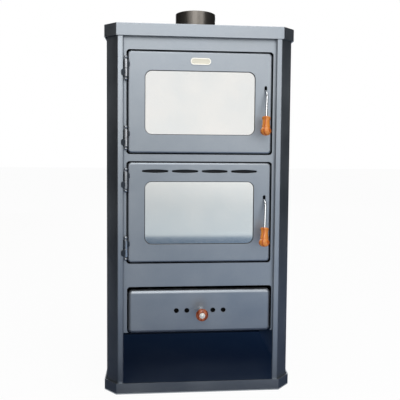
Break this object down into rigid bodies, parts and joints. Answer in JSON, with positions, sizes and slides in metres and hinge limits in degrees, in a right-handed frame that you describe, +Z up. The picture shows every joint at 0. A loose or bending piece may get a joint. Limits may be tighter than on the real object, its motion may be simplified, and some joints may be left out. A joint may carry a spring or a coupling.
{
  "type": "wood cookstove",
  "caption": "Upright wood-burning cookstove: oven over firebox, both with glazed doors, ash drawer with air knob, log niche and rear flue collar.",
  "frame": {"origin": "middle of the flat underside of the plinth, on the floor", "axes": "+Z up, +X to the right seen from the front, +Y to the rear; the doors face -Y"},
  "size_m": [0.54, 0.5085, 1.133],
  "materials": {
    "stove_paint": "satin heat-resistant anthracite paint with a fine metallic texture",
    "hinge_steel": "turned steel, painted dark grey, worn bright",
    "flue_paint": "satin dark brownish grey",
    "inner_steel": "matt black heat-resistant paint",
    "cast_iron": "as cast",
    "bright_steel": "bright, lightly brushed",
    "zinc_steel": "zinc-plated sheet",
    "fireclay": "matt fired clay",
    "varnished_wood": "turned beech, stained orange brown, clear varnish",
    "stove_glass": "clear heat-resistant glass with a mirror-like front",
    "rope_seal": "braided glass-fibre rope",
    "badge_metal": "pale brass, satin, bare"
  },
  "bodies": {
    "stove": {"plinth": "stove_paint", "side_panel_left": "stove_paint", "side_panel_right": "stove_paint", "back_panel": "stove_paint", "top_plate": "stove_paint", "flue_collar": "flue_paint", "front_plate": "stove_paint", "ash_channel": "inner_steel", "drawer_guide_left": "zinc_steel", "drawer_guide_right": "zinc_steel", "firebox_casing": "inner_steel", "firebrick_left": "fireclay", "firebrick_right": "fireclay", "firebrick_back": "fireclay", "fire_grate": "cast_iron", "log_guard": "cast_iron", "baffle_plate": "cast_iron", "oven_box": "inner_steel", "oven_rack": "bright_steel", "oven_keeper": "inner_steel", "firebox_keeper": "inner_steel", "oven_upper_hinge_pin_half": "hinge_steel", "oven_lower_hinge_pin_half": "hinge_steel", "firebox_upper_hinge_pin_half": "hinge_steel", "firebox_lower_hinge_pin_half": "hinge_steel"},
    "oven_door": {"oven_door": "stove_paint", "oven_glass": "stove_glass", "oven_glass_frame": "inner_steel", "oven_glass_screw_1": "bright_steel", "oven_glass_screw_2": "bright_steel", "oven_glass_screw_3": "bright_steel", "oven_glass_screw_4": "bright_steel", "oven_door_seal": "rope_seal", "oven_upper_hinge_knuckle": "hinge_steel", "oven_lower_hinge_knuckle": "hinge_steel", "oven_latch_bracket": "inner_steel", "oven_badge": "badge_metal"},
    "oven_handle": {"oven_latch_lever": "bright_steel", "oven_handle_grip": "varnished_wood"},
    "firebox_door": {"firebox_door": "stove_paint", "firebox_glass": "stove_glass", "firebox_glass_frame": "inner_steel", "firebox_glass_screw_1": "bright_steel", "firebox_glass_screw_2": "bright_steel", "firebox_glass_screw_3": "bright_steel", "firebox_glass_screw_4": "bright_steel", "firebox_door_seal": "rope_seal", "firebox_upper_hinge_knuckle": "hinge_steel", "firebox_lower_hinge_knuckle": "hinge_steel", "firebox_latch_bracket": "inner_steel"},
    "firebox_handle": {"firebox_latch_lever": "bright_steel", "firebox_handle_grip": "varnished_wood"},
    "ash_drawer": {"drawer_front": "stove_paint", "ash_pan": "zinc_steel", "air_slide_guide": "zinc_steel"},
    "air_slide": {"air_slide": "bright_steel", "knob": "varnished_wood", "knob_screw": "bright_steel"}
  },
  "joints": [
    {"name": "oven_door_hinge", "type": "hinge", "parent": "stove", "child": "oven_door", "pos_m": [-0.2078, -0.2225, 0.8287], "axis": [0, 0, -1], "range_deg": [0, 120]},
    {"name": "oven_handle_pivot", "type": "hinge", "parent": "oven_door", "child": "oven_handle", "pos_m": [0.1858, -0.207, 0.8651], "axis": [-1, 0, 0], "range_deg": [0, 30]},
    {"name": "firebox_door_hinge", "type": "hinge", "parent": "stove", "child": "firebox_door", "pos_m": [-0.2078, -0.2225, 0.5175], "axis": [0, 0, -1], "range_deg": [0, 120]},
    {"name": "firebox_handle_pivot", "type": "hinge", "parent": "firebox_door", "child": "firebox_handle", "pos_m": [0.1858, -0.207, 0.5539], "axis": [-1, 0, 0], "range_deg": [0, 30]},
    {"name": "ash_drawer_slide", "type": "slide", "parent": "stove", "child": "ash_drawer", "axis": [0, -1, 0], "range_m": [0, 0.24]},
    {"name": "air_slide_shift", "type": "slide", "parent": "ash_drawer", "child": "air_slide", "axis": [-1, 0, 0], "range_m": [0, 0.015]}
  ]
}
